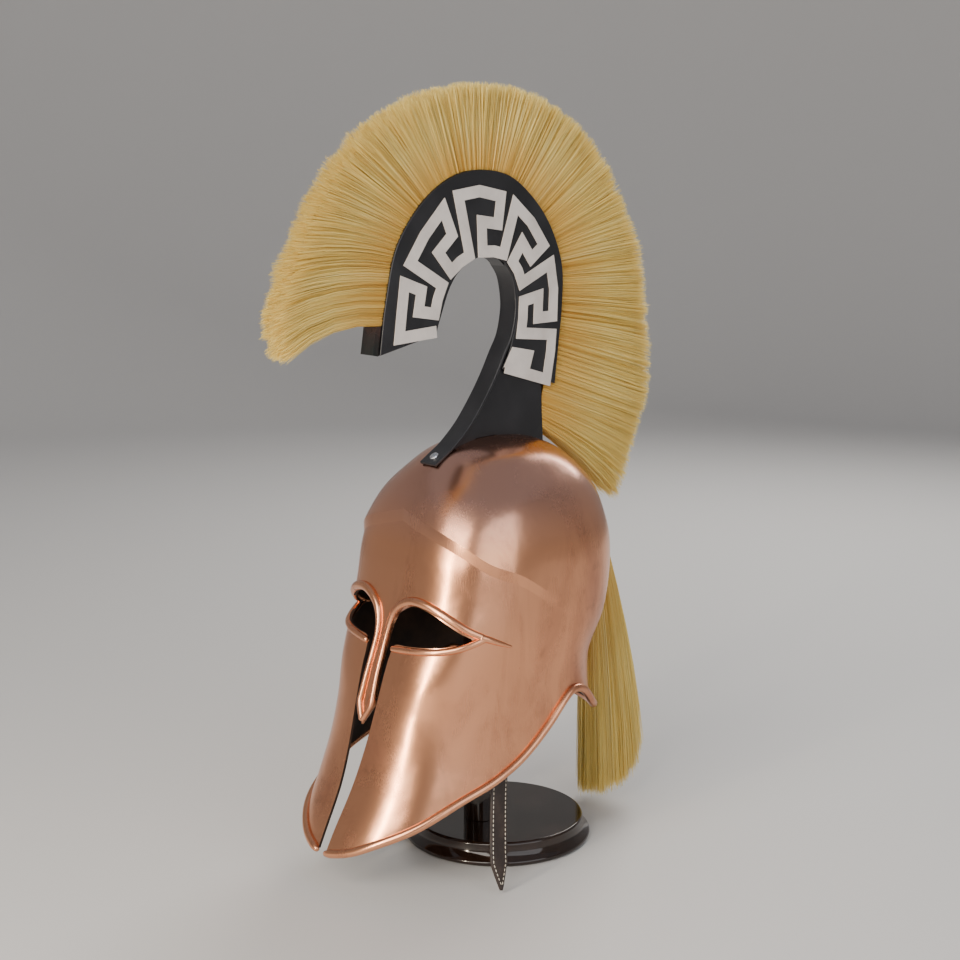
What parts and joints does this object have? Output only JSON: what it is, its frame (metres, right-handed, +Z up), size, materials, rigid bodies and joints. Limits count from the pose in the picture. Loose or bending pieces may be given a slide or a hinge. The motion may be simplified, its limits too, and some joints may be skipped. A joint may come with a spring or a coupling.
{
  "type": "greek crested helmet on a display stand",
  "caption": "Closed-faced Greek helmet of polished copper-coloured bronze with a raised arched horsehair crest, key-patterned crest board, hanging tail and chin strap, on a round stand.",
  "frame": {"origin": "centre of the stand's underside", "axes": "+Z up, -Y ahead of the face, +X to the wearer's left"},
  "size_m": [0.1892, 0.3901, 0.619],
  "materials": {
    "copper": "polished copper-coloured bronze, finely brushed, a little tarnished",
    "black_paint": "satin black paint",
    "white_paint": "satin off-white paint",
    "black_resin": "rough dark resin",
    "hair": "pale yellow horsehair",
    "steel": "bright steel",
    "leather": "dark brown leather with pale stitching",
    "lacquer": "glossy near-black lacquer"
  },
  "bodies": {
    "root": {"helmet_shell": "copper", "crest_core": "black_paint", "crest_plate_left": "black_paint", "crest_plate_right": "black_paint", "meander_left": "white_paint", "meander_right": "white_paint", "crest_end_block": "black_resin", "crest_strap": "black_paint", "crest_rivet": "steel", "plume": "hair", "plume_tail": "hair", "tail_ferrule": "black_paint", "chin_strap": "leather", "chin_strap_rivet": "steel", "stand_base": "lacquer", "stand_post": "lacquer", "stand_cap": "lacquer"}
  },
  "joints": []
}
